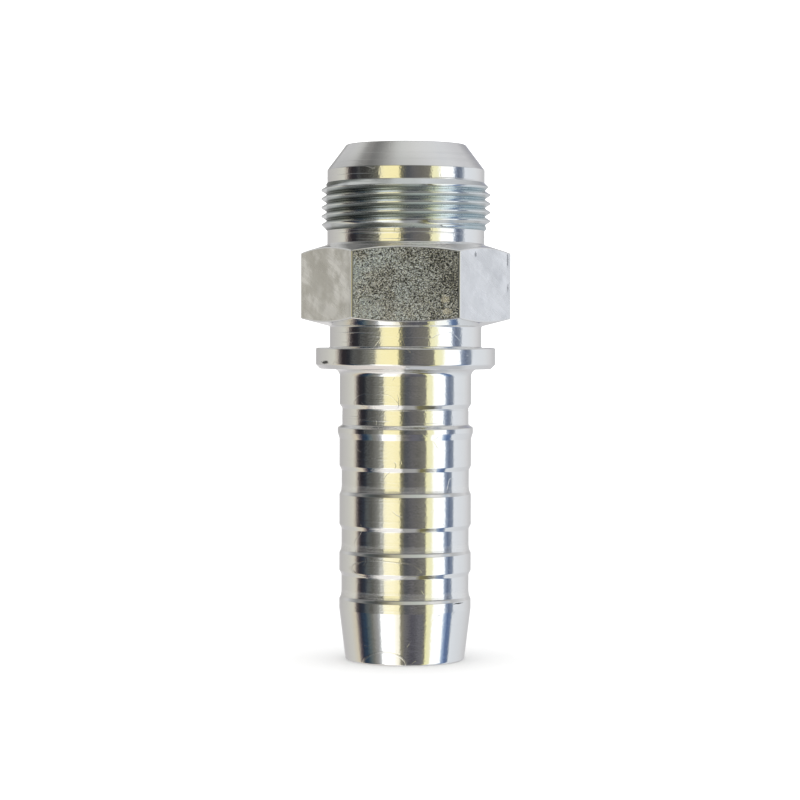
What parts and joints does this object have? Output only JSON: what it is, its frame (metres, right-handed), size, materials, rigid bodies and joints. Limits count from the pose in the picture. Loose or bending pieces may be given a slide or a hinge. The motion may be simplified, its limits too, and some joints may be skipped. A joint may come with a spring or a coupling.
{
  "type": "hose insert",
  "caption": "Zinc-plated steel hose insert with a grooved hose tail, a collar, a hexagon and a 37-degree flared male end.",
  "frame": {"origin": "centre of the tail's end face, on the axis", "axes": "+Z along the axis from the hose tail up to the flared nose; a flat of the hexagon faces -Y and a corner points along +X"},
  "size_m": [0.0512, 0.0444, 0.1256],
  "materials": {
    "zinc_plated_steel": "bright zinc plate over fine turning lines; the hexagon's flats are duller"
  },
  "bodies": {
    "root": {"hose_insert": "zinc_plated_steel"}
  },
  "joints": []
}
